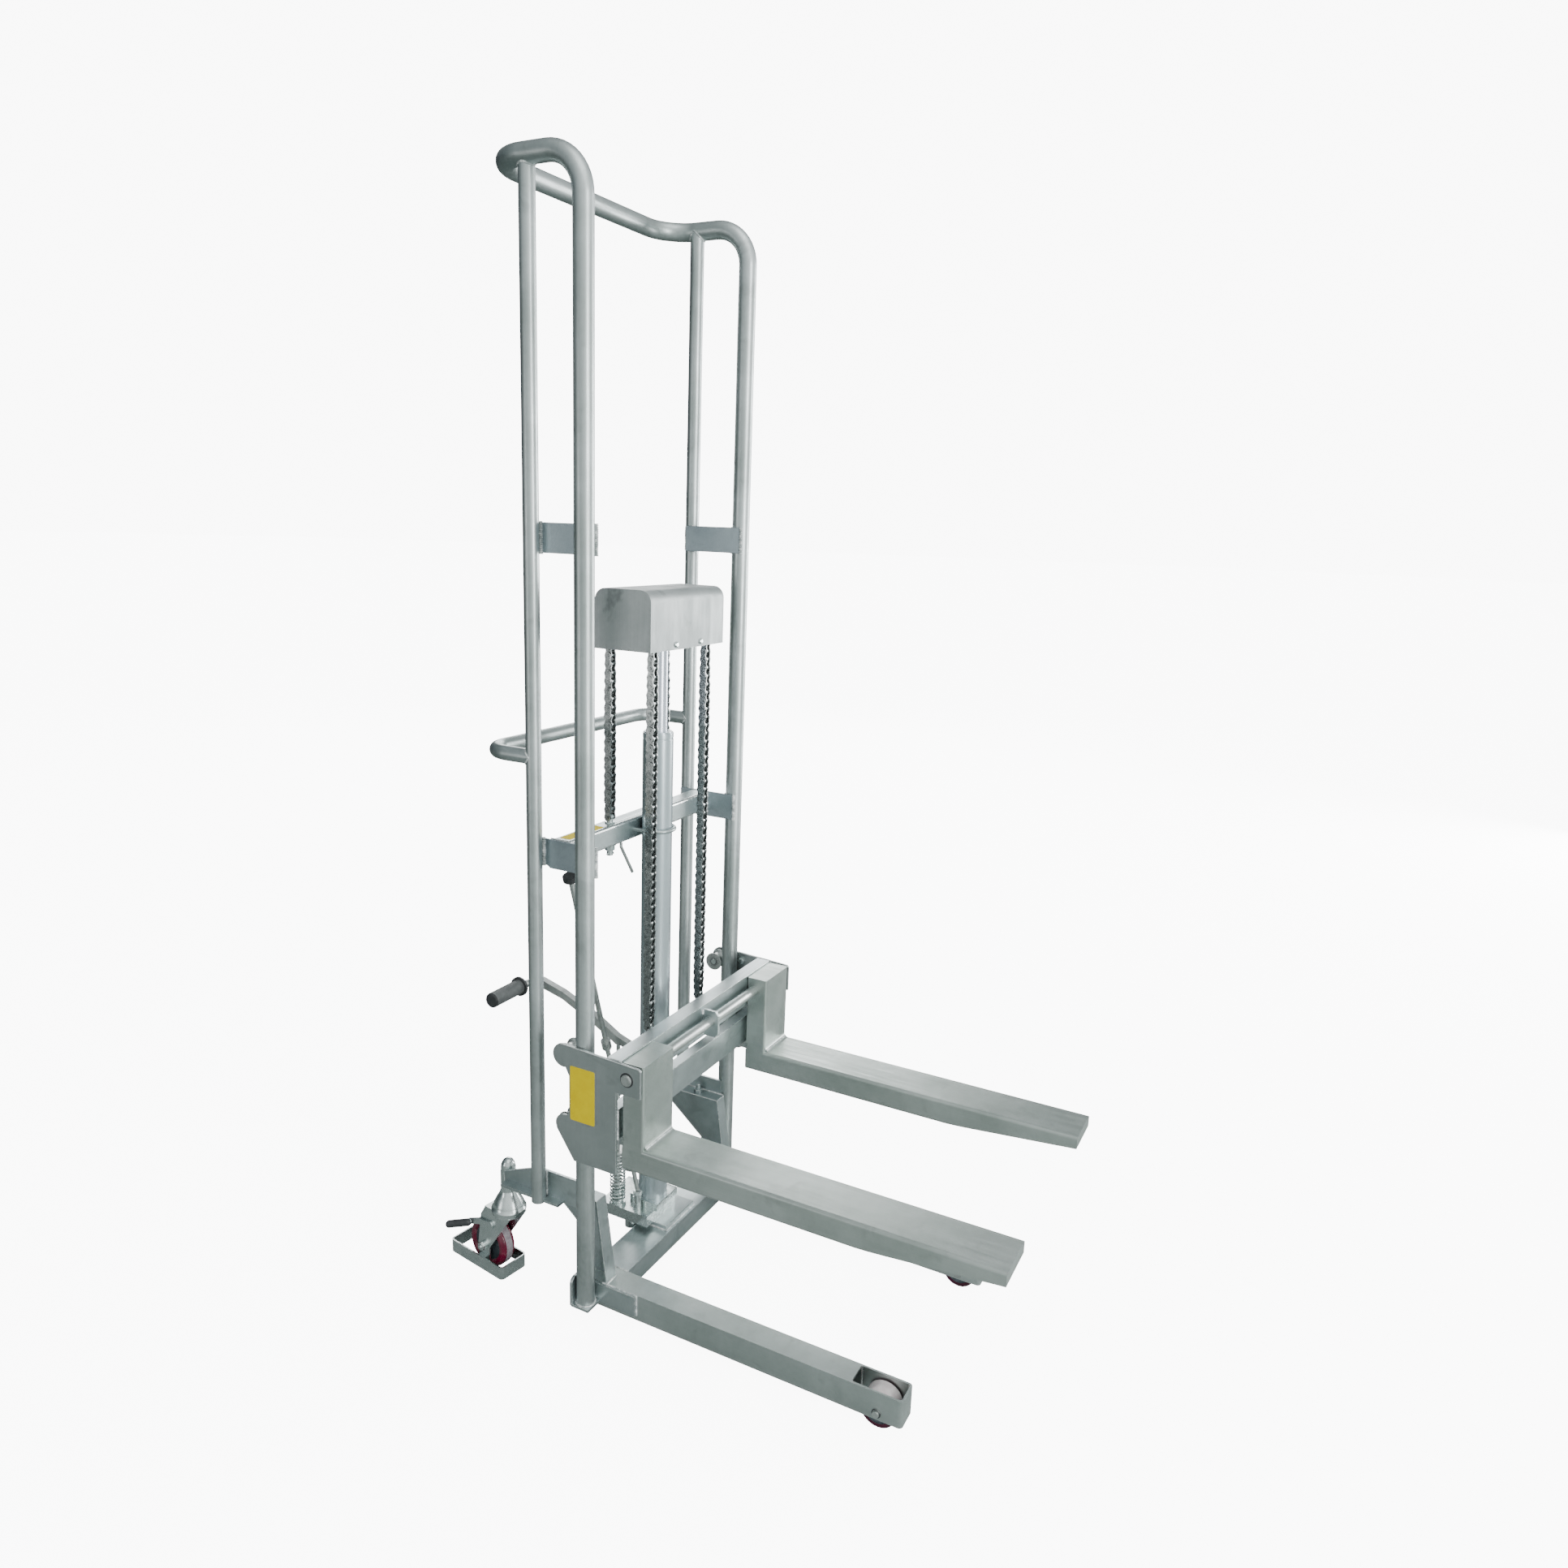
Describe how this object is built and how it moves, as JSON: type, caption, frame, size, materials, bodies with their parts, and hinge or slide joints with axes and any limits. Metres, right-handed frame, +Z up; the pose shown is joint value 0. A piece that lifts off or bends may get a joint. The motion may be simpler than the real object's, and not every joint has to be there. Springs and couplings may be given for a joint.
{
  "type": "hand pallet stacker",
  "caption": "Foot-pumped pallet stacker: round-tube mast on straddle legs, ram with chain head, fork carriage on grooved rollers, swivel casters with brakes",
  "frame": {"origin": "on the floor under the middle of the machine's box", "axes": "X across the machine, -Y along the forks, Z up"},
  "size_m": [0.57, 1.1416, 2.035],
  "materials": {
    "stainless": "pickled stainless steel, soft sheen",
    "cylinder": "silver enamel, satin",
    "rod_chrome": "hard chrome, polished",
    "zinc": "bright zinc plate",
    "dark_steel": "oiled dark steel",
    "chain_steel": "oiled chain steel",
    "polyurethane": "wine red polyurethane, satin",
    "rubber_grip": "black rubber, matt"
  },
  "bodies": {
    "frame": {"mast_tube": "stainless", "rear_uprights": "stainless", "tie_plates": "stainless", "anchor_crossbar": "stainless", "push_handle": "stainless", "base_crossmember": "stainless", "leg_left": "stainless", "leg_right": "stainless", "foot_brackets": "stainless", "leg_gussets": "stainless", "rear_rails": "stainless", "caster_sockets": "zinc", "lift_cylinder": "cylinder", "cylinder_strap": "stainless", "pump_block": "zinc", "release_valve": "zinc", "pump_barrel": "zinc", "return_tube": "stainless", "pedal_bracket": "stainless", "load_axles": "stainless", "anchor_bolts": "zinc", "chain_rear": "chain_steel"},
    "ram": {"piston_rod": "rod_chrome", "head_yoke": "stainless", "head_cover": "stainless", "head_axle": "stainless", "chain_wraps": "chain_steel"},
    "chain_wheel_left": {"chain_wheel_left": "dark_steel"},
    "chain_wheel_right": {"chain_wheel_right": "dark_steel"},
    "carriage": {"side_plates": "stainless", "carriage_top_bar": "stainless", "carriage_lower_bar": "stainless", "shaft_bracket": "stainless", "fork_shaft": "stainless", "chain_anchors": "zinc", "roller_pins": "dark_steel", "chain_front": "chain_steel"},
    "fork_left": {"fork_left": "stainless"},
    "fork_right": {"fork_right": "stainless"},
    "pedal": {"pedal_arm": "stainless", "pedal_grip": "rubber_grip"},
    "plunger": {"pump_plunger": "zinc", "pump_spring": "zinc"},
    "release_rod": {"release_rod": "stainless"},
    "release_spindle": {"release_spindle": "stainless"},
    "load_roller_left": {"load_roller_left": "polyurethane"},
    "load_roller_right": {"load_roller_right": "polyurethane"},
    "caster_left": {"caster_fork_left": "zinc"},
    "caster_right": {"caster_fork_right": "zinc"},
    "caster_wheel_left": {"caster_wheel_left": "polyurethane"},
    "caster_wheel_right": {"caster_wheel_right": "polyurethane"},
    "brake_left": {"brake_lever_left": "rubber_grip"},
    "brake_right": {"brake_lever_right": "rubber_grip"},
    "roller_upper_left": {"roller_upper_left": "dark_steel"},
    "roller_upper_right": {"roller_upper_right": "dark_steel"},
    "roller_lower_left": {"roller_lower_left": "dark_steel"},
    "roller_lower_right": {"roller_lower_right": "dark_steel"},
    "roller_front_left": {"roller_front_left": "dark_steel"},
    "roller_front_right": {"roller_front_right": "dark_steel"}
  },
  "joints": [
    {"name": "ram_lift", "type": "slide", "parent": "frame", "child": "ram", "axis": [0, 0, 1], "range_m": [-0.13, 0.55], "deforming": ["chain_rear"]},
    {"name": "carriage_lift", "type": "slide", "parent": "ram", "child": "carriage", "axis": [0, 0, 1], "range_m": [-0.13, 0.55], "deforming": ["chain_front"]},
    {"name": "chain_wheel_turn_left", "type": "hinge", "parent": "ram", "child": "chain_wheel_left", "pos_m": [-0.09, 0.23621, 1.295], "axis": [1, 0, 0], "continuous": true},
    {"name": "chain_wheel_turn_right", "type": "hinge", "parent": "ram", "child": "chain_wheel_right", "pos_m": [0.09, 0.23621, 1.295], "axis": [1, 0, 0], "continuous": true},
    {"name": "roller_upper_left_turn", "type": "hinge", "parent": "carriage", "child": "roller_upper_left", "pos_m": [-0.257, 0.24551, 0.539], "axis": [1, 0, 0], "continuous": true},
    {"name": "roller_upper_right_turn", "type": "hinge", "parent": "carriage", "child": "roller_upper_right", "pos_m": [0.257, 0.24551, 0.539], "axis": [1, 0, 0], "continuous": true},
    {"name": "roller_lower_left_turn", "type": "hinge", "parent": "carriage", "child": "roller_lower_left", "pos_m": [-0.257, 0.24551, 0.405], "axis": [1, 0, 0], "continuous": true},
    {"name": "roller_lower_right_turn", "type": "hinge", "parent": "carriage", "child": "roller_lower_right", "pos_m": [0.257, 0.24551, 0.405], "axis": [1, 0, 0], "continuous": true},
    {"name": "roller_front_left_turn", "type": "hinge", "parent": "carriage", "child": "roller_front_left", "pos_m": [-0.257, 0.18291, 0.372], "axis": [1, 0, 0], "continuous": true},
    {"name": "roller_front_right_turn", "type": "hinge", "parent": "carriage", "child": "roller_front_right", "pos_m": [0.257, 0.18291, 0.372], "axis": [1, 0, 0], "continuous": true},
    {"name": "fork_left_slide", "type": "slide", "parent": "carriage", "child": "fork_left", "axis": [1, 0, 0], "range_m": [0, 0.15]},
    {"name": "fork_right_slide", "type": "slide", "parent": "carriage", "child": "fork_right", "axis": [-1, 0, 0], "range_m": [0, 0.15]},
    {"name": "pedal_press", "type": "hinge", "parent": "frame", "child": "pedal", "pos_m": [-0.052, 0.24221, 0.45], "axis": [-1, 0, 0], "range_deg": [0, 34], "stiffness_Nm_per_rad": 20, "springref_deg": -34.38},
    {"name": "plunger_stroke", "type": "slide", "parent": "frame", "child": "plunger", "axis": [0, 0, -1], "range_m": [0, 0.0285], "deforming": ["pump_spring"]},
    {"name": "release_turn", "type": "hinge", "parent": "frame", "child": "release_rod", "pos_m": [-0.084, 0.29021, 0.456], "axis": [-0.3211, -0.0335, 0.9465], "range_deg": [0, 90]},
    {"name": "spindle_turn", "type": "hinge", "parent": "frame", "child": "release_spindle", "pos_m": [-0.084, 0.29021, 0.456], "axis": [-0.1111, 0.1587, 0.981], "range_deg": [0, 90]},
    {"name": "load_roller_turn_left", "type": "hinge", "parent": "frame", "child": "load_roller_left", "pos_m": [-0.2094, -0.36479, 0.032], "axis": [1, 0, 0], "continuous": true},
    {"name": "caster_swivel_left", "type": "hinge", "parent": "frame", "child": "caster_left", "pos_m": [-0.222, 0.42621, 0.142], "axis": [0, 0, 1], "continuous": true},
    {"name": "caster_roll_left", "type": "hinge", "parent": "caster_left", "child": "caster_wheel_left", "pos_m": [-0.21452, 0.47565, 0.051], "axis": [0.9888, -0.1495, 0], "continuous": true},
    {"name": "brake_tip_left", "type": "hinge", "parent": "caster_left", "child": "brake_left", "pos_m": [-0.24154, 0.45749, 0.105], "axis": [-0.9888, 0.1495, 0], "range_deg": [0, 16]},
    {"name": "load_roller_turn_right", "type": "hinge", "parent": "frame", "child": "load_roller_right", "pos_m": [0.2094, -0.36479, 0.032], "axis": [1, 0, 0], "continuous": true},
    {"name": "caster_swivel_right", "type": "hinge", "parent": "frame", "child": "caster_right", "pos_m": [0.222, 0.42621, 0.142], "axis": [0, 0, 1], "continuous": true},
    {"name": "caster_roll_right", "type": "hinge", "parent": "caster_right", "child": "caster_wheel_right", "pos_m": [0.21452, 0.47565, 0.051], "axis": [0.9888, 0.1495, 0], "continuous": true},
    {"name": "brake_tip_right", "type": "hinge", "parent": "caster_right", "child": "brake_right", "pos_m": [0.24154, 0.45749, 0.105], "axis": [-0.9888, -0.1495, 0], "range_deg": [0, 16]}
  ],
  "couplings": [
    {"joint": "carriage_lift", "follows": "ram_lift", "ratio": 1},
    {"joint": "chain_wheel_turn_left", "follows": "ram_lift", "rad_per_m": -21.877},
    {"joint": "chain_wheel_turn_right", "follows": "ram_lift", "rad_per_m": -21.877},
    {"joint": "roller_upper_left_turn", "follows": "ram_lift", "rad_per_m": 142.86},
    {"joint": "roller_upper_right_turn", "follows": "ram_lift", "rad_per_m": 142.86},
    {"joint": "roller_lower_left_turn", "follows": "ram_lift", "rad_per_m": 142.86},
    {"joint": "roller_lower_right_turn", "follows": "ram_lift", "rad_per_m": 142.86},
    {"joint": "roller_front_left_turn", "follows": "ram_lift", "rad_per_m": -142.86},
    {"joint": "roller_front_right_turn", "follows": "ram_lift", "rad_per_m": -142.86},
    {"joint": "plunger_stroke", "follows": "pedal_press", "m_per_rad": 0.04776},
    {"joint": "spindle_turn", "follows": "release_turn", "ratio": 1}
  ]
}
